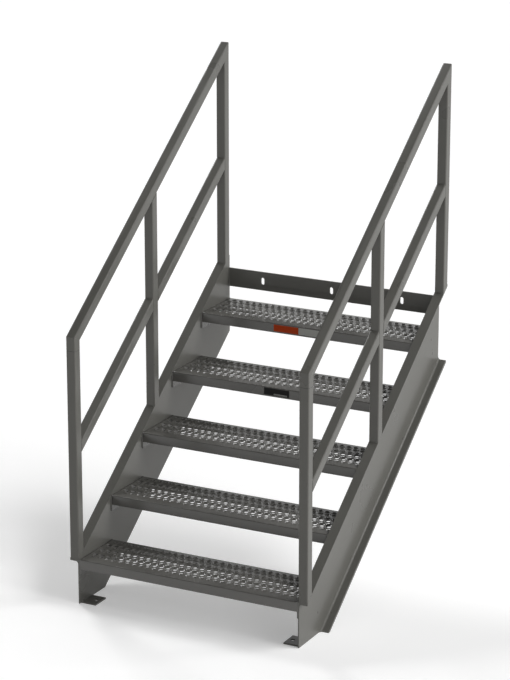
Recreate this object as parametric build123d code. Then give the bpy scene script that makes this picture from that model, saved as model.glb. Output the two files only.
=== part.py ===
from build123d import *
import math
import os

# Welded steel stair that carries a person up to a landing. It stands on the floor at its foot
# and hangs from the landing edge by a slotted bar. The stair climbs towards +Y, +X is to the
# right of someone who climbs it and +Z is up. The origin is the centre of the bar's rear face.

inch = 25.4

# Steps
rise = 7 * inch
run = 9.5 * inch
tread_count = 5
clear_width = 36 * inch

# Stringer channels, toes outward
channel_depth = 10 * inch
channel_flange = 1.5 * inch
channel_web_thickness = 0.17 * inch
channel_flange_thickness = 0.28 * inch
channel_fillet = 0.4 * inch
channel_toe_radius = 0.08 * inch

# Treads, bent from sheet and welded between end plates
tread_sheet = 0.105 * inch
tread_lip = 1.5 * inch
tread_bend_radius = 0.16 * inch
end_plate_height = 2.5 * inch
end_plate_thickness = 0.1875 * inch
end_plate_corner = 0.5 * inch

# Handrails of square tube
tube_width = 1.5 * inch
tube_wall = 0.12 * inch
tube_corner = 0.1875 * inch
handrail_height = 34 * inch
mid_rail_drop = 17 * inch
front_leg_length = 2.125 * inch

# Landing bar
bar_height = 3 * inch
bar_thickness = 0.25 * inch
bar_below_landing = 2 * inch
slot_count = 3
slot_spacing = 12 * inch
slot_width = 0.5625 * inch
slot_length = 1.125 * inch

# Foot plates
foot_width = 2.5 * inch
foot_length = 3 * inch
foot_thickness = 0.25 * inch
foot_setback = 0.375 * inch
anchor_hole = 0.6875 * inch
anchor_inset = 1.75 * inch

# Sizes that follow from those above
stair_length = tread_count * run
landing_height = (tread_count + 1) * rise
origin_height = landing_height - bar_below_landing - bar_height / 2
pitch = rise / run
slope = math.atan(pitch)
web_face = clear_width / 2
outer_face = web_face + channel_flange
post_middle = web_face + tube_width / 2
tread_length = clear_width - 2 * end_plate_thickness
front = -stair_length
floor = -origin_height
tube_bore = tube_width - 2 * tube_wall
sloped_tube_height = tube_width / math.cos(slope)
overshoot = 4 * tube_width
middle_front = (front - tube_width) / 2
leg_joint = floor + rise + handrail_height - front_leg_length


def nosing_line(y):
    """Height of the line through the tread noses, which is also the top of the stringers."""
    return floor + rise + pitch * (y - front)


def handrail_top(y):
    """Height of the handrail's upper side."""
    return nosing_line(y) + handrail_height


def handrail_under(y):
    """Height of the handrail's lower side."""
    return handrail_top(y) - sloped_tube_height


def mid_rail_top(y):
    """Height of the middle rail's upper side."""
    return handrail_top(y) - mid_rail_drop


def mid_rail_under(y):
    """Height of the middle rail's lower side."""
    return mid_rail_top(y) - sloped_tube_height


def side_slab(points, x_from, x_to):
    """Solid with the side-view outline of the (y, z) points, between two values of X."""
    outline = Polyline(*[(x_from, y, z) for y, z in points], close=True)
    return extrude(make_face(outline), amount=x_to - x_from, dir=(1, 0, 0))


def square_tube(start, end):
    """Hollow square tube on the left side of the stair.

    start and end are the cuts at its two ends. Each is the pair of (y, z) points where the cut
    meets the tube's two long sides, first the upper or front side, then the lower or rear side.
    """
    first, second = [Vector(0, *point) for point in start]
    last, last_other = [Vector(0, *point) for point in end]
    along = (last - first).normalized()
    across = Vector(1, 0, 0).cross(along)
    if across.dot(second - first) < 0:
        across = -across
    middle = Vector(-post_middle, 0, 0) + first + across * (tube_width / 2)
    section = RectangleRounded(tube_width, tube_width, tube_corner)
    section -= RectangleRounded(tube_bore, tube_bore, tube_corner - tube_wall)
    begin = Plane(origin=middle - along * overshoot, x_dir=(1, 0, 0), z_dir=along)
    tube = extrude(begin * section, amount=(last - first).length + 2 * overshoot)
    near_cut = second - first
    far_cut = last_other - last
    corners = [first - near_cut, second + near_cut, last_other + far_cut, last - far_cut]
    piece = side_slab([(c.Y, c.Z) for c in corners], -outer_face - tube_width, -web_face + tube_width)
    return tube & piece


def upright(y_front, bottom, top):
    """Tube that stands with its front face at y_front; bottom and top give height from y."""
    y_rear = y_front + tube_width
    return square_tube(
        [(y_front, bottom(y_front)), (y_rear, bottom(y_rear))],
        [(y_front, top(y_front)), (y_rear, top(y_rear))],
    )


def stringer():
    """Left channel: web against the treads, cut plumb at both ends and level on the floor."""
    groove_height = channel_depth - 2 * channel_flange_thickness
    section = Rectangle(channel_flange, channel_depth, align=(Align.MIN, Align.MAX))
    groove = Pos(channel_web_thickness, -channel_flange_thickness) * Rectangle(
        channel_flange, groove_height, align=(Align.MIN, Align.MAX)
    )
    groove = fillet(groove.vertices().group_by(Axis.X)[0], channel_fillet)
    section -= groove
    toes = section.vertices().group_by(Axis.X)[-1].sort_by(Axis.Y)[1:3]
    section = fillet(toes, channel_toe_radius)
    along = Vector(0, math.cos(slope), math.sin(slope))
    begin = Vector(-web_face, front, nosing_line(front)) - along * channel_depth
    sloped_length = stair_length / math.cos(slope) + 2 * channel_depth
    channel = extrude(Plane(origin=begin, x_dir=(-1, 0, 0), z_dir=along) * section, amount=sloped_length)
    top = nosing_line(0) + inch
    cut = side_slab([(front, floor), (0, floor), (0, top), (front, top)], -outer_face - inch, -web_face + inch)
    return channel & cut


def tread(number):
    """Plank number 1 is the lowest. A bent sheet with a lip down its front and its rear edge."""
    nose = front + (number - 1) * run
    top = floor + number * rise
    plank = side_slab(
        [(nose, top), (nose, top - tread_lip), (nose + run, top - tread_lip), (nose + run, top)],
        -tread_length / 2,
        tread_length / 2,
    )
    plank = fillet(plank.edges().filter_by(Axis.X).group_by(Axis.Z)[-1], tread_bend_radius)
    inner_front = nose + tread_sheet
    inner_rear = nose + run - tread_sheet
    inner_top = top - tread_sheet
    hollow = side_slab(
        [
            (inner_front, inner_top),
            (inner_front, top - tread_lip - inch),
            (inner_rear, top - tread_lip - inch),
            (inner_rear, inner_top),
        ],
        -clear_width / 2,
        clear_width / 2,
    )
    inner_radius = tread_bend_radius - tread_sheet
    hollow = fillet(hollow.edges().filter_by(Axis.X).group_by(Axis.Z)[-1], inner_radius)
    return plank - hollow


def end_plate(number):
    """Plate at a tread's left end, against the web of the stringer."""
    nose = front + (number - 1) * run
    top = floor + number * rise
    plate = side_slab(
        [(nose, top), (nose, top - end_plate_height), (nose + run, top - end_plate_height), (nose + run, top)],
        -web_face,
        -web_face + end_plate_thickness,
    )
    rear_bottom = plate.edges().filter_by(Axis.X).group_by(Axis.Z)[0].sort_by(Axis.Y)[-1]
    return chamfer(rear_bottom, end_plate_corner)


def landing_bar():
    """Flat bar between the stringers with its rear face on the landing edge, slots upright."""
    bar = Box(clear_width, bar_thickness, bar_height, align=(Align.CENTER, Align.MAX, Align.CENTER))
    slot = extrude(Plane.XZ * Rot(Z=90) * SlotOverall(slot_length, slot_width), amount=bar_thickness, both=True)
    for index in range(slot_count):
        x = (index - (slot_count - 1) / 2) * slot_spacing
        bar -= Pos(x, 0, 0) * slot
    return bar


def foot_plate():
    """Plate on the floor inside the left stringer, with one anchor hole."""
    corner = Pos(-web_face, front + foot_setback, floor)
    plate = corner * Box(foot_width, foot_length, foot_thickness, align=(Align.MIN, Align.MIN, Align.MIN))
    hole = Cylinder(anchor_hole / 2, foot_thickness * 4)
    return plate - corner * Pos(anchor_inset, foot_length / 2, 0) * hole


def front_post():
    """Tube from the stringer up to the joint under the handrail's front leg."""
    return upright(front, nosing_line, lambda y: leg_joint)


def middle_post():
    """Tube from the stringer up to the underside of the handrail, midway along the stair."""
    return upright(middle_front, nosing_line, handrail_under)


def handrail_mitre_low():
    """Cut between the handrail and its front leg."""
    return [(front, handrail_top(front)), (front + tube_width, handrail_under(front + tube_width))]


def handrail_mitre_high():
    """Cut between the handrail and the back post."""
    return [(0, handrail_top(0)), (-tube_width, handrail_under(-tube_width))]


def back_post():
    """Tube at the landing, mitred to the handrail."""
    y_front = -tube_width
    bottom = [(0, nosing_line(0)), (y_front, nosing_line(y_front))]
    return square_tube(bottom, handrail_mitre_high())


def front_leg():
    """Short upright end of the handrail that stands on the front post."""
    return square_tube([(front, leg_joint), (front + tube_width, leg_joint)], handrail_mitre_low())


def handrail():
    """Sloped tube between the two mitres."""
    return square_tube(handrail_mitre_low(), handrail_mitre_high())


def mid_rail(y_from, y_to):
    """Sloped tube between two posts, halfway up to the handrail."""
    return square_tube(
        [(y_from, mid_rail_top(y_from)), (y_from, mid_rail_under(y_from))],
        [(y_to, mid_rail_top(y_to)), (y_to, mid_rail_under(y_to))],
    )


def write(name, solid):
    """Write one node, as one solid."""
    export_step(solid.solid(), f"parts/{name}.step")


def write_pair(name, solid):
    """Write a piece of the left side and its mirror image on the right."""
    write(f"left_{name}", solid)
    write(f"right_{name}", mirror(solid, about=Plane.YZ))


os.makedirs("parts", exist_ok=True)

write("landing_bar", landing_bar())
write_pair("stringer", stringer())
write_pair("foot_plate", foot_plate())
for number in range(1, tread_count + 1):
    write(f"tread_{number}", tread(number))
    write_pair(f"end_plate_{number}", end_plate(number))
write_pair("front_post", front_post())
write_pair("middle_post", middle_post())
write_pair("back_post", back_post())
write_pair("front_leg", front_leg())
write_pair("handrail", handrail())
write_pair("lower_mid_rail", mid_rail(front + tube_width, middle_front))
write_pair("upper_mid_rail", mid_rail(middle_front + tube_width, -tube_width))
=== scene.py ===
import math

import bpy
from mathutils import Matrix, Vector


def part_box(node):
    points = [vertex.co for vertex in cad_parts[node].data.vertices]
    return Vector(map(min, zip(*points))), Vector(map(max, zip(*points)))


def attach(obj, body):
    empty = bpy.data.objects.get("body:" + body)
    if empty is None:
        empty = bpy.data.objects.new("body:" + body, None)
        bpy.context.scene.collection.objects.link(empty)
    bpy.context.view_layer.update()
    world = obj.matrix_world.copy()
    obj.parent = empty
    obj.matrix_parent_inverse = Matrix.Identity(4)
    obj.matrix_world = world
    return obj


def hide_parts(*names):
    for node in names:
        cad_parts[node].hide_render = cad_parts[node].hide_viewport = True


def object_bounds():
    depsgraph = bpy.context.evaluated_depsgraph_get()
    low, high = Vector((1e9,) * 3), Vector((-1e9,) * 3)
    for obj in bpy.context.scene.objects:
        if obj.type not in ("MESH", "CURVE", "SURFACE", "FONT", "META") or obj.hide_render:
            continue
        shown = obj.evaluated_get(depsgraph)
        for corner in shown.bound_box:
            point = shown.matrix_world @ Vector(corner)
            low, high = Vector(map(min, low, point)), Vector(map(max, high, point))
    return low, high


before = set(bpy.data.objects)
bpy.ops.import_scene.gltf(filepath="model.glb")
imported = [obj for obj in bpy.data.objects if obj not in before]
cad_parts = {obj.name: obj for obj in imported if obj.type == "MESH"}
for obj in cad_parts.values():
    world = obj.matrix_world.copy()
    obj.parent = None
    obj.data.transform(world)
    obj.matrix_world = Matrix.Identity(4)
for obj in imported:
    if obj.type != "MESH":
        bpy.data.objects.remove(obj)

cad_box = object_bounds()

# Sizes are in metres. The frame gives the places, and these are details that only the looks need.
MM = 0.001
INCH = 25.4 * MM

# Treads
TREAD_COUNT = 5
TREAD_SHEET = 0.105 * INCH
TREAD_LIP = 1.5 * INCH
TREAD_BEND = 0.16 * INCH
BEND_STEPS = 5

# Grip pattern: rows of raised buttons and of sunk holes in turn, each row half a pitch aside.
# Their profiles are (radius, height) in mm, from the flat inwards to the edge of the hole.
# The first row is that far behind the nose, and GRIP_STEPS is the faces along each side of a cell.
GRIP_PITCH = 1.125 * INCH
GRIP_COLUMNS = 31
GRIP_ROWS = 7
GRIP_ROW_SPACING = 1.05 * INCH
GRIP_FIRST_ROW = 2.0 * INCH
GRIP_STEPS = 4
BUTTON = [(11.8, 0.0), (11.0, 0.25), (9.7, 0.95), (8.4, 1.7), (7.4, 2.2), (6.9, 2.3)]
SUNK_HOLE = [(13.4, 0.0), (12.6, -0.2), (11.0, -0.9), (9.2, -1.75), (7.7, -2.4)]

# Rounded edges. The end plates' cut corner turns by less than the other edges, so its limit is lower.
EDGE_RADIUS = 0.7 * MM
EDGE_SEGMENTS = 2
EDGE_ANGLE = 50
END_PLATE_EDGE_ANGLE = 40
SHARED_POINT_GAP = 0.01 * MM
TUBE_CORNER = 0.1875 * INCH
TUBE_CORNER_STEPS = 4

# Weld beads. Shares of the leg: the ripples' swell, what is left of the bead at its ends, and how far
# the middle of its face is from its root.
BEAD_LEG = 3.2 * MM
BEAD_RIPPLE = 3.4 * MM
BEAD_SWELL = 0.10
BEAD_END = 0.35
BEAD_WAIST = 0.62
BEAD_SIDES = 4
RINGS_PER_RIPPLE = 4

# Places of the treads' welds: how far the end plates' beads stop short of the plates' top and rear
# edges, and the short beads under a tread's ends, by their length and their share of the run.
PLATE_WELD_TOP_GAP = 4 * MM
PLATE_WELD_REAR_GAP = 12 * MM
STITCH = 35 * MM
STITCH_PLACES = (0.2, 0.5, 0.8)

# Dark rings under the handrails' front legs: painted shade in the gaps there
SEAM_INSET = 0.1 * MM
SEAM_DEPTH = 2.5 * MM
SEAM_HALF_HEIGHT = 0.9 * MM

# Blank labels on two lips
LABEL_THICKNESS = 0.25 * MM
LABEL_CORNER = 2 * MM
LABEL_CORNER_STEPS = 5

# Paint: each noise is (scale, detail), and the shares are how far a colour strays from its mean.
# Edges are rubbed and lighter, partly wear and partly a painted highlight along them, where the rounded
# normal's facing and the patches' noise go from the first to the second of their values.
CLOUD_NOISE = (6.0, 3.0)
PEEL_NOISE = (420.0, 1.0)
GRAIN_NOISE = (1400.0, 2.0)
RUB_HIGHLIGHT_NOISE = (55.0, 4.0)
CLOUD_SHARE = 0.10
GRAIN_SHARE = 0.07
PAINT_ROUGHNESS_SPREAD = 0.03
PEEL_STRENGTH = 0.15
PEEL_HEIGHT = 0.05 * MM
RUB_HIGHLIGHT_WIDTH = 1.2 * MM
RUB_HIGHLIGHT_SAMPLES = 4
RUB_HIGHLIGHT_FACING = (0.97, 0.80)
RUB_HIGHLIGHT_PATCHES = (0.50, 0.66)
RUB_HIGHLIGHT_MOST = 0.5
RUBBED_AND_HIGHLIGHT_SHADE = 1.9

# Vinyl of the labels
VINYL_NOISE = (160.0, 4.0)
VINYL_SHADES = (0.88, 1.08)
VINYL_ROUGHNESS_SPREAD = 0.04
VINYL_GLOSS = 0.15

# A noise's values lie mostly between these two.
NOISE_LOW = 0.3
NOISE_HIGH = 0.7

# Floor. The lift is its own light, which only the camera and reflections see.
FLOOR_REACH = 60.0
FLOOR_TONE = 0.82
FLOOR_ROUGHNESS = 0.9
FLOOR_LIFT = 0.29

# Each glow is a soft patch of the studio's sky: azimuth from +X towards +Y, elevation, strength.
GLOWS = [(0, 8, 1.25), (45, 8, 0.9), (315, 8, 0.75), (112, 8, 0.9), (270, 10, 0.28)]
GLOW_FALLOFF = 6

# Camera at the photograph's viewing angle: degrees below the level and to the left of +Y, lens in mm
CAMERA_PLACE = (4.52944, -9.39102, 2.94439)
CAMERA_DOWN = 16.81
CAMERA_TURN = 27.42
CAMERA_LENS = 145.12
CAMERA_SENSOR = 36.0
CAMERA_REACH = 300

RIGHT = Vector((1, 0, 0))
REAR = Vector((0, 1, 0))
UP = Vector((0, 0, 1))

stringer_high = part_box("left_stringer")[1]
tread_low, tread_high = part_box("tread_1")
pitch = (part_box("tread_2")[1].z - tread_high.z) / (tread_high.y - tread_low.y)
incline = Vector((0, 1, pitch)).normalized()


# Meshes and pieces

class Net:
    """Points and faces of a mesh, where equal points are shared."""

    def __init__(self):
        self.points = []
        self.faces = []
        self.index = {}

    def point(self, x, y, z):
        """Number of a point, which is new unless one is there to a thousandth of a millimetre."""
        key = (round(x / MM, 3), round(y / MM, 3), round(z / MM, 3))
        if key not in self.index:
            self.index[key] = len(self.points)
            self.points.append((x, y, z))
        return self.index[key]

    def strip(self, first, second, closed=False):
        """Quads between two lines with as many points each."""
        a = [self.point(*p) for p in first]
        b = [self.point(*p) for p in second]
        count = len(a) if closed else len(a) - 1
        for i in range(count):
            j = (i + 1) % len(a)
            corners = list(dict.fromkeys((a[i], a[j], b[j], b[i])))
            if len(corners) > 2:
                self.faces.append(corners)

    def fan(self, line):
        """One face inside a closed line."""
        self.faces.append([self.point(*p) for p in line])

    def mesh(self, name):
        """Blender mesh of the points and faces."""
        made = bpy.data.meshes.new(name)
        made.from_pydata(self.points, [], self.faces)
        made.validate()
        return made


def link(mesh, name, material, smooth=True):
    """New object for a mesh, with its material."""
    mesh.materials.append(material)
    mesh.polygons.foreach_set("use_smooth", [smooth] * len(mesh.polygons))
    piece = bpy.data.objects.new(name, mesh)
    bpy.context.scene.collection.objects.link(piece)
    return piece


def finish_piece(piece):
    """Put a new piece on the one body."""
    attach(piece, "root")


# Treads

def rectangle_ring(x, y, z):
    """Points round a grip cell, GRIP_STEPS to a side, from its corner at the lowest X and Y."""
    half_x = GRIP_PITCH / 2
    half_y = GRIP_ROW_SPACING / 2
    corners = [(-1, -1), (1, -1), (1, 1), (-1, 1)]
    ring = []
    for (x0, y0), (x1, y1) in zip(corners, corners[1:] + corners[:1]):
        for step in range(GRIP_STEPS):
            t = step / GRIP_STEPS
            ring.append((x + half_x * (x0 + (x1 - x0) * t), y + half_y * (y0 + (y1 - y0) * t), z))
    return ring


def circle_ring(x, y, radius, z):
    """As many points round a circle, in the same order, from the same corner's direction."""
    count = 4 * GRIP_STEPS
    turns = [math.radians(225) + math.tau * i / count for i in range(count)]
    return [(x + radius * math.cos(turn), y + radius * math.sin(turn), z) for turn in turns]


def grip_cell(net, x, y, z, profile):
    """Sheet round one button or hole."""
    rings = [rectangle_ring(x, y, z)]
    for radius, height in profile:
        rings.append(circle_ring(x, y, radius * MM, z + height * MM))
    for outer, inner in zip(rings, rings[1:]):
        net.strip(outer, inner, closed=True)


def row_margins(net, lines, y, z, left, right):
    """Plain sheet between a row's ends, left and right, and the plank's."""
    column_step = GRIP_PITCH / GRIP_STEPS
    row_step = GRIP_ROW_SPACING / GRIP_STEPS
    levels = [y - GRIP_ROW_SPACING / 2 + row_step * i for i in range(GRIP_STEPS, -1, -1)]
    for x0, x1 in zip(lines, lines[1:]):
        if x1 < left + column_step / 2 or x0 > right - column_step / 2:
            net.strip([(x0, level, z) for level in levels], [(x1, level, z) for level in levels])


def grip_row(net, lines, y, z, high_x, sunk):
    """One row across the plank: its buttons or sunk holes and its plain ends."""
    right = high_x - (GRIP_PITCH / 2 if sunk else 0)
    left = right - GRIP_COLUMNS * GRIP_PITCH
    for column in range(GRIP_COLUMNS):
        grip_cell(net, left + (column + 0.5) * GRIP_PITCH, y, z, SUNK_HOLE if sunk else BUTTON)
    row_margins(net, lines, y, z, left, right)


def bend_line(turn_in):
    """(y, z) points from the lip's lower edge up and round the bend, from the nose."""
    points = [(0.0, -TREAD_LIP)]
    for step in range(BEND_STEPS + 1):
        angle = math.radians(90) * step / BEND_STEPS
        points.append((TREAD_BEND * (1 - math.cos(angle)), TREAD_BEND * (math.sin(angle) - 1)))
    return points + [(turn_in, 0.0)]


def bent_lip(net, lines, nose, z, sign, turn_in):
    """Lip and bend at the front, where sign is 1, or at the rear, up to the grip pattern."""
    section = [(nose + sign * y, z + drop) for y, drop in bend_line(turn_in)]
    for x0, x1 in zip(lines, lines[1:]):
        first = [(x0, y, level) for y, level in section]
        second = [(x1, y, level) for y, level in section]
        if sign > 0:
            net.strip(second, first)
        else:
            net.strip(first, second)


def grip_net(low, high):
    """Upper skin of a punched plank between two corners."""
    column_step = GRIP_PITCH / GRIP_STEPS
    line_count = int((high.x - low.x) // column_step)
    lines = [low.x] + [high.x - column_step * i for i in range(line_count, -1, -1)]
    field_front = GRIP_FIRST_ROW - GRIP_ROW_SPACING / 2
    field_rear = field_front + GRIP_ROWS * GRIP_ROW_SPACING
    net = Net()
    for row in range(GRIP_ROWS):
        y = low.y + GRIP_FIRST_ROW + row * GRIP_ROW_SPACING
        grip_row(net, lines, y, high.z, high.x, sunk=row % 2 == 1)
    bent_lip(net, lines, low.y, high.z, 1, field_front)
    bent_lip(net, lines, high.y, high.z, -1, high.y - low.y - field_rear)
    return net


def grip_tread(number, material):
    """Punched plank in place of one tread: one skin, thickened by a modifier."""
    name = f"grip_tread_{number}"
    piece = link(grip_net(*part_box(f"tread_{number}")).mesh(name), name, material)
    sheet = piece.modifiers.new("sheet", "SOLIDIFY")
    sheet.thickness = TREAD_SHEET
    sheet.offset = -1
    piece.modifiers.new("shading", "WEIGHTED_NORMAL")
    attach(piece, "root")
    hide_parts(f"tread_{number}")


# Shader nodes

class Nodes:
    """Short names for making and joining shader nodes."""

    def __init__(self, tree):
        self.tree = tree

    def add(self, kind, settings=None, **values):
        """New node with its settings and the values of its inputs."""
        node = self.tree.nodes.new(kind)
        for name, value in (settings or {}).items():
            setattr(node, name, value)
        for name, value in values.items():
            node.inputs[name].default_value = value
        return node

    def join(self, source, target):
        """Link an output to an input."""
        self.tree.links.new(source, target)


def new_material(name):
    """Material with its node helper and its main shader."""
    material = bpy.data.materials.new(name)
    material.use_nodes = True
    return material, Nodes(material.node_tree), material.node_tree.nodes["Principled BSDF"]


def noise(nodes, scale_and_detail):
    """Noise over the object's own coordinates."""
    scale, detail = scale_and_detail
    place = nodes.add("ShaderNodeTexCoord").outputs["Object"]
    texture = nodes.add("ShaderNodeTexNoise", Scale=scale, Detail=detail)
    nodes.join(place, texture.inputs["Vector"])
    return texture.outputs["Fac"]


def ranged(nodes, source, low, high, to_low, to_high):
    """Map a value from one range to another."""
    mapped = nodes.add("ShaderNodeMapRange")
    for name, value in (("From Min", low), ("From Max", high), ("To Min", to_low), ("To Max", to_high)):
        mapped.inputs[name].default_value = value
    nodes.join(source, mapped.inputs["Value"])
    return mapped.outputs["Result"]


def shaded(nodes, colour, dark, light, share):
    """Colour that goes from a dark to a light shade as share goes from 0 to 1."""
    mix = nodes.add("ShaderNodeMix", {"data_type": "RGBA"})
    mix.inputs["A"].default_value = (*[dark * c for c in colour], 1)
    mix.inputs["B"].default_value = (*[light * c for c in colour], 1)
    nodes.join(share, mix.inputs["Factor"])
    return mix.outputs["Result"]


def spread_roughness(nodes, shader, source, middle, spread):
    """Roughness that a noise moves up and down from its middle value."""
    rough = ranged(nodes, source, NOISE_LOW, NOISE_HIGH, middle - spread, middle + spread)
    nodes.join(rough, shader.inputs["Roughness"])


# Paint and vinyl

def speckled(nodes, colour, cloud):
    """Colour with faint clouds and a fine grain."""
    clouded = shaded(nodes, colour, 1 - CLOUD_SHARE, 1 + CLOUD_SHARE, cloud)
    grain = noise(nodes, GRAIN_NOISE)
    speck = nodes.add("ShaderNodeCombineColor")
    for channel in ("Red", "Green", "Blue"):
        share = ranged(nodes, grain, NOISE_LOW, NOISE_HIGH, 1 - GRAIN_SHARE, 1 + GRAIN_SHARE)
        nodes.join(share, speck.inputs[channel])
    mix = nodes.add("ShaderNodeMix", {"data_type": "RGBA", "blend_type": "MULTIPLY"}, Factor=1.0)
    nodes.join(clouded, mix.inputs["A"])
    nodes.join(speck.outputs["Color"], mix.inputs["B"])
    return mix.outputs["Result"]


def rub_and_highlight_share(nodes):
    """Lighter patches along the edges, where the surface's normal differs from a rounded one: partly
    wear, partly a painted highlight.
    """
    rounded = nodes.add("ShaderNodeBevel", {"samples": RUB_HIGHLIGHT_SAMPLES}, Radius=RUB_HIGHLIGHT_WIDTH)
    facing = nodes.add("ShaderNodeVectorMath", {"operation": "DOT_PRODUCT"})
    nodes.join(rounded.outputs["Normal"], facing.inputs[0])
    nodes.join(nodes.add("ShaderNodeNewGeometry").outputs["Normal"], facing.inputs[1])
    edge = ranged(nodes, facing.outputs["Value"], *RUB_HIGHLIGHT_FACING, 0.0, 1.0)
    patches = ranged(nodes, noise(nodes, RUB_HIGHLIGHT_NOISE), *RUB_HIGHLIGHT_PATCHES, 0.0, RUB_HIGHLIGHT_MOST)
    both = nodes.add("ShaderNodeMath", {"operation": "MULTIPLY"})
    nodes.join(edge, both.inputs[0])
    nodes.join(patches, both.inputs[1])
    return both.outputs[0]


def orange_peel(nodes, shader):
    """Fine bumps of sprayed paint."""
    bump = nodes.add("ShaderNodeBump", Strength=PEEL_STRENGTH, Distance=PEEL_HEIGHT)
    nodes.join(noise(nodes, PEEL_NOISE), bump.inputs["Height"])
    nodes.join(bump.outputs["Normal"], shader.inputs["Normal"])


def satin_paint(name, colour, roughness, gloss):
    """Sprayed satin paint: faint clouding, orange peel, and rubbed edges that are lighter, partly as a
    painted highlight.
    """
    material, nodes, shader = new_material(name)
    cloud = noise(nodes, CLOUD_NOISE)
    # The rubbed edges are lighter: partly wear, partly a painted highlight along them.
    worn_and_highlit = nodes.add("ShaderNodeMix", {"data_type": "RGBA"})
    worn_and_highlit.inputs["B"].default_value = (*[RUBBED_AND_HIGHLIGHT_SHADE * c for c in colour], 1)
    nodes.join(speckled(nodes, colour, cloud), worn_and_highlit.inputs["A"])
    nodes.join(rub_and_highlight_share(nodes), worn_and_highlit.inputs["Factor"])
    nodes.join(worn_and_highlit.outputs["Result"], shader.inputs["Base Color"])
    spread_roughness(nodes, shader, cloud, roughness, PAINT_ROUGHNESS_SPREAD)
    orange_peel(nodes, shader)
    shader.inputs["Specular IOR Level"].default_value = gloss
    return material


def label_material(name, colour, roughness):
    """Vinyl without any print: an even colour with faint scuffs."""
    material, nodes, shader = new_material(name)
    scuffs = noise(nodes, VINYL_NOISE)
    nodes.join(shaded(nodes, colour, *VINYL_SHADES, scuffs), shader.inputs["Base Color"])
    spread_roughness(nodes, shader, scuffs, roughness, VINYL_ROUGHNESS_SPREAD)
    shader.inputs["Specular IOR Level"].default_value = VINYL_GLOSS
    return material


frame_paint = satin_paint("frame_paint", (0.122, 0.120, 0.109), roughness=0.30, gloss=0.3)
tread_paint = satin_paint("tread_paint", (0.104, 0.101, 0.093), roughness=0.25, gloss=0.65)
orange_vinyl = label_material("orange_vinyl", (0.42, 0.042, 0.002), roughness=0.5)
black_vinyl = label_material("black_vinyl", (0.012, 0.012, 0.012), roughness=0.5)
grey_vinyl = label_material("grey_vinyl", (0.40, 0.40, 0.375), roughness=0.5)
pale_vinyl = label_material("pale_vinyl", (0.22, 0.22, 0.21), roughness=0.5)
# Near-black for the rings in the joint gaps: a painted shade.
painted_seam_shade = label_material("painted_seam_shade", (0.015, 0.015, 0.014), roughness=0.6)


def dress_node(name, node):
    """Paint a CAD node and round its edges."""
    of_tread = "tread" in name or "end_plate" in name
    node.data.materials.clear()
    node.data.materials.append(tread_paint if of_tread else frame_paint)
    joined = node.modifiers.new("joined", "WELD")
    joined.merge_threshold = SHARED_POINT_GAP
    rounded = node.modifiers.new("rounded", "BEVEL")
    rounded.width = EDGE_RADIUS
    rounded.segments = EDGE_SEGMENTS
    rounded.limit_method = "ANGLE"
    rounded.angle_limit = math.radians(END_PLATE_EDGE_ANGLE if "end_plate" in name else EDGE_ANGLE)


for name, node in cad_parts.items():
    dress_node(name, node)

for number in range(1, TREAD_COUNT + 1):
    grip_tread(number, tread_paint)


# Welds. A bead is a pair of end points and the two directions in which its legs run.

def bead_ring(middle, side_a, side_b, reach):
    """Section of a bead: its root, then the points from one leg round to the other."""
    ring = [middle]
    for side in range(BEAD_SIDES + 1):
        angle = math.radians(90) * side / BEAD_SIDES
        bulge = BEAD_WAIST + (1 - BEAD_WAIST) * abs(math.cos(2 * angle))
        ring.append(middle + (side_a * math.cos(angle) + side_b * math.sin(angle)) * reach * bulge)
    return [tuple(p) for p in ring]


def bead(net, start, end, side_a, side_b):
    """Rippled fillet between two surfaces that run off in the directions of the sides."""
    length = (end - start).length
    count = max(2, round(length / BEAD_RIPPLE * RINGS_PER_RIPPLE))
    previous = None
    for i in range(count + 1):
        t = i / count
        swell = 1 + BEAD_SWELL * math.cos(math.tau * t * length / BEAD_RIPPLE)
        taper = min(1.0, BEAD_END + min(t, 1 - t) * length / BEAD_LEG)
        ring = bead_ring(start + (end - start) * t, side_a, side_b, BEAD_LEG * swell * taper)
        if previous:
            net.strip(previous, ring, closed=True)
        else:
            net.fan(ring[::-1])
        previous = ring
    net.fan(previous)


def weld_piece(name, beads, slot="painted_frame"):
    """One piece from several beads."""
    net = Net()
    for (start, end), side_a, side_b in beads:
        bead(net, start, end, side_a, side_b)
    paint = tread_paint if slot == "painted_tread" else frame_paint
    finish_piece(link(net.mesh(name), name, paint))


def across(low, high, y, z):
    """Ends of a bead along X over the flat of a square tube."""
    return Vector((low.x + TUBE_CORNER, y, z)), Vector((high.x - TUBE_CORNER, y, z))


def nosing(y):
    """Height of the stringers' upper side."""
    return stringer_high.z + pitch * y


def rail_welds(rail):
    """Beads over and under both ends of a sloped rail between two posts."""
    low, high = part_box(rail)
    rise = pitch * (high.y - low.y)
    return [
        (across(low, high, low.y, high.z - rise), UP, incline),
        (across(low, high, low.y, low.z), -UP, incline),
        (across(low, high, high.y, high.z), UP, -incline),
        (across(low, high, high.y, low.z + rise), -UP, -incline),
    ]


def post_welds(side):
    """Beads round the feet of a side's posts, and at the middle post's top."""
    beads = []
    for post, front, rear in (("front", False, True), ("middle", True, True), ("back", True, False)):
        low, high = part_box(f"{side}_{post}_post")
        if front:
            beads.append((across(low, high, low.y, nosing(low.y)), UP, -incline))
        if rear:
            beads.append((across(low, high, high.y, nosing(high.y)), UP, incline))
    low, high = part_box(f"{side}_middle_post")
    beads.append((across(low, high, low.y, high.z - pitch * (high.y - low.y)), -UP, -incline))
    beads.append((across(low, high, high.y, high.z), -UP, incline))
    return beads


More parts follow.
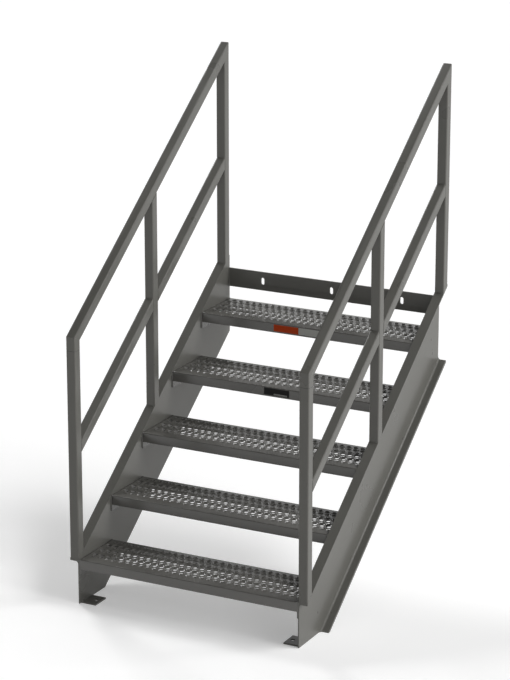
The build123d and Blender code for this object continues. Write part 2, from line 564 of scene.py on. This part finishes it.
def plate_welds(side, web, inward):
    """Beads between the treads' end plates and the web, in front and below."""
    beads = []
    for number in range(1, TREAD_COUNT + 1):
        low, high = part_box(f"{side}_end_plate_{number}")
        corner = Vector((web, low.y, low.z))
        if number > 1:
            beads.append(((corner, Vector((web, low.y, high.z - PLATE_WELD_TOP_GAP))), inward, -REAR))
        beads.append(((corner, Vector((web, high.y - PLATE_WELD_REAR_GAP, low.z))), inward, -UP))
    return beads


def tread_welds(side, inward):
    """Short beads under one end of each tread."""
    beads = []
    for number in range(1, TREAD_COUNT + 1):
        low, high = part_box(f"tread_{number}")
        x = low.x if side == "left" else high.x
        for share in STITCH_PLACES:
            middle = Vector((x, low.y + share * (high.y - low.y), high.z - TREAD_SHEET))
            beads.append(((middle - REAR * STITCH / 2, middle + REAR * STITCH / 2), inward, -UP))
    return beads


def end_welds(side, web, inward):
    """Beads at the landing bar's end and along the foot plate."""
    bar_low, bar_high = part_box("landing_bar")
    foot_low, foot_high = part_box(f"{side}_foot_plate")
    bar_ends = Vector((web, bar_low.y, bar_low.z)), Vector((web, bar_low.y, bar_high.z))
    foot_ends = Vector((web, foot_low.y, foot_high.z)), Vector((web, foot_high.y, foot_high.z))
    return [(bar_ends, inward, -REAR), (foot_ends, inward, UP)]


def side_welds(side, sign):
    """All the weld pieces of one side, where sign is 1 on the left."""
    web = sign * stringer_high.x
    inward = RIGHT * sign
    rails = rail_welds(f"{side}_lower_mid_rail") + rail_welds(f"{side}_upper_mid_rail")
    weld_piece(f"{side}_plate_welds", plate_welds(side, web, inward), "painted_tread")
    weld_piece(f"{side}_tread_welds", tread_welds(side, inward), "painted_tread")
    weld_piece(f"{side}_post_welds", post_welds(side))
    weld_piece(f"{side}_rail_welds", rails)
    weld_piece(f"{side}_end_welds", end_welds(side, web, inward))


side_welds("left", 1)
side_welds("right", -1)


# Painted shade in the gaps between the front posts and the legs that stand on them

def rounded_square(middle, half, corner, z):
    """Points round an upright square tube, anticlockwise from above."""
    points = []
    for first, sign_x, sign_y in ((0, 1, 1), (90, -1, 1), (180, -1, -1), (270, 1, -1)):
        x = middle.x + sign_x * (half - corner)
        y = middle.y + sign_y * (half - corner)
        for step in range(TUBE_CORNER_STEPS + 1):
            turn = math.radians(first + 90 * step / TUBE_CORNER_STEPS)
            points.append((x + corner * math.cos(turn), y + corner * math.sin(turn), z))
    return points


def joint_gap_shade(side):
    """Dark ring in the groove under a handrail's front leg: painted shade in the gap."""
    low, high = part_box(f"{side}_front_post")
    rings = []
    for inset, level in ((SEAM_INSET, -1), (SEAM_INSET, 1), (SEAM_DEPTH, 1), (SEAM_DEPTH, -1)):
        half = (high.x - low.x) / 2 - inset
        z = high.z + level * SEAM_HALF_HEIGHT
        rings.append(rounded_square((low + high) / 2, half, TUBE_CORNER - inset, z))
    net = Net()
    for first, second in zip(rings, rings[1:] + rings[:1]):
        net.strip(first, second, closed=True)
    name = f"{side}_joint_gap_shade"
    finish_piece(link(net.mesh(name), name, painted_seam_shade, smooth=False))


joint_gap_shade("left")
joint_gap_shade("right")


# Blank labels

def label_outline(left, right, top, height):
    """(x, z) points round a label with round corners, from its top right one."""
    bottom = top - height
    outline = []
    for x, z, first in ((right, top, 0), (left, top, 90), (left, bottom, 180), (right, bottom, 270)):
        middle_x = x - math.copysign(LABEL_CORNER, x - (left + right) / 2)
        middle_z = z - math.copysign(LABEL_CORNER, z - (top - height / 2))
        for step in range(LABEL_CORNER_STEPS + 1):
            turn = math.radians(first + 90 * step / LABEL_CORNER_STEPS)
            around = LABEL_CORNER * math.cos(turn), LABEL_CORNER * math.sin(turn)
            outline.append((middle_x + around[0], middle_z + around[1]))
    return outline


def label(name, tread, material, left, right, below, height, lift=0.0):
    """Thin plate without print on a tread's lip. below is the gap under the tread's top."""
    low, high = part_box(f"tread_{tread}")
    face = low.y - lift
    outline = label_outline(left, right, high.z - below, height)
    front = [(x, face - LABEL_THICKNESS, z) for x, z in outline]
    back = [(x, face, z) for x, z in outline]
    net = Net()
    net.fan(front)
    net.fan(back[::-1])
    net.strip(front[::-1], back[::-1], closed=True)
    finish_piece(link(net.mesh(name), name, material, smooth=False))


label("orange_label", 5, orange_vinyl, left=-135 * MM, right=-27.5 * MM, below=5.5 * MM, height=27 * MM)
label("grey_label", 5, grey_vinyl, left=-26.5 * MM, right=81 * MM, below=5.5 * MM, height=27 * MM)
label("black_label", 4, black_vinyl, left=-53 * MM, right=55 * MM, below=4.5 * MM, height=28 * MM)
label(
    "black_label_bar",
    4,
    pale_vinyl,
    left=-12 * MM,
    right=46 * MM,
    below=24.5 * MM,
    height=6 * MM,
    lift=LABEL_THICKNESS,
)


# Floor

def lift_strength(nodes):
    """Strength of the floor's own light: its lift for the camera and reflections, none for the rest."""
    path = nodes.add("ShaderNodeLightPath")
    seen = path.outputs["Is Camera Ray"]
    for ray in ("Is Glossy Ray", "Is Transmission Ray"):
        either = nodes.add("ShaderNodeMath", {"operation": "MAXIMUM"})
        nodes.join(seen, either.inputs[0])
        nodes.join(path.outputs[ray], either.inputs[1])
        seen = either.outputs[0]
    return ranged(nodes, seen, 0.0, 1.0, 0.0, FLOOR_LIFT)


def floor_plane():
    """Wide pale floor under the feet."""
    level = cad_box[0].z
    corners = [(x * FLOOR_REACH, y * FLOOR_REACH, level) for x, y in ((-1, -1), (1, -1), (1, 1), (-1, 1))]
    mesh = bpy.data.meshes.new("floor")
    mesh.from_pydata(corners, [], [(0, 1, 2, 3)])
    material, nodes, shader = new_material("floor")
    shader.inputs["Base Color"].default_value = (FLOOR_TONE, FLOOR_TONE, FLOOR_TONE, 1)
    shader.inputs["Roughness"].default_value = FLOOR_ROUGHNESS
    shader.inputs["Emission Color"].default_value = (1, 1, 1, 1)
    nodes.join(lift_strength(nodes), shader.inputs["Emission Strength"])
    link(mesh, "floor", material, smooth=False)


floor_plane()


# Light

def towards(azimuth, elevation):
    """Unit vector for a direction in degrees."""
    turn = math.radians(azimuth)
    lift = math.radians(elevation)
    return Vector((math.cos(lift) * math.cos(turn), math.cos(lift) * math.sin(turn), math.sin(lift)))


def glow(nodes, direction, azimuth, elevation, strength, total):
    """Soft patch of light round a direction, added to the total so far."""
    facing = nodes.add("ShaderNodeVectorMath", {"operation": "DOT_PRODUCT"})
    facing.inputs[1].default_value = towards(azimuth, elevation)
    nodes.join(direction, facing.inputs[0])
    front_half = nodes.add("ShaderNodeMath", {"operation": "MAXIMUM"})
    nodes.join(facing.outputs["Value"], front_half.inputs[0])
    front_half.inputs[1].default_value = 0.0
    falloff = nodes.add("ShaderNodeMath", {"operation": "POWER"})
    nodes.join(front_half.outputs[0], falloff.inputs[0])
    falloff.inputs[1].default_value = GLOW_FALLOFF
    added = nodes.add("ShaderNodeMath", {"operation": "MULTIPLY_ADD"})
    nodes.join(falloff.outputs[0], added.inputs[0])
    added.inputs[1].default_value = strength
    added.inputs[2].default_value = 0.0
    if total:
        nodes.join(total, added.inputs[2])
    return added.outputs[0]


def studio_sky():
    """World whose light comes mostly from low on the right, as large soft boxes would give."""
    world = bpy.data.worlds.new("studio")
    bpy.context.scene.world = world
    world.use_nodes = True
    nodes = Nodes(world.node_tree)
    direction = nodes.add("ShaderNodeTexCoord").outputs["Generated"]
    total = None
    for azimuth, elevation, strength in GLOWS:
        total = glow(nodes, direction, azimuth, elevation, strength, total)
    background = world.node_tree.nodes["Background"]
    background.inputs["Color"].default_value = (1, 1, 1, 1)
    nodes.join(total, background.inputs["Strength"])


def sun(name, azimuth, elevation, energy, angle):
    """Soft lamp, far away in a direction."""
    data = bpy.data.lights.new(name, "SUN")
    data.energy = energy
    data.angle = math.radians(angle)
    lamp = bpy.data.objects.new(name, data)
    lamp.rotation_euler = towards(azimuth, elevation).to_track_quat("Z", "Y").to_euler()
    bpy.context.scene.collection.objects.link(lamp)


studio_sky()
sun("key", azimuth=27, elevation=50, energy=1.0, angle=20)
sun("side", azimuth=0, elevation=40, energy=0.95, angle=25)
sun("back", azimuth=144, elevation=40, energy=1.05, angle=14)


# Camera

def photo_camera():
    """Camera at the photograph's viewing angle."""
    data = bpy.data.cameras.new("camera")
    data.sensor_width = CAMERA_SENSOR
    data.lens = CAMERA_LENS
    data.clip_end = CAMERA_REACH
    camera = bpy.data.objects.new("camera", data)
    camera.location = CAMERA_PLACE
    camera.rotation_euler = (math.radians(90 - CAMERA_DOWN), 0, math.radians(CAMERA_TURN))
    bpy.context.scene.collection.objects.link(camera)
    bpy.context.scene.camera = camera


photo_camera()
bpy.context.scene.view_settings.view_transform = "Standard"
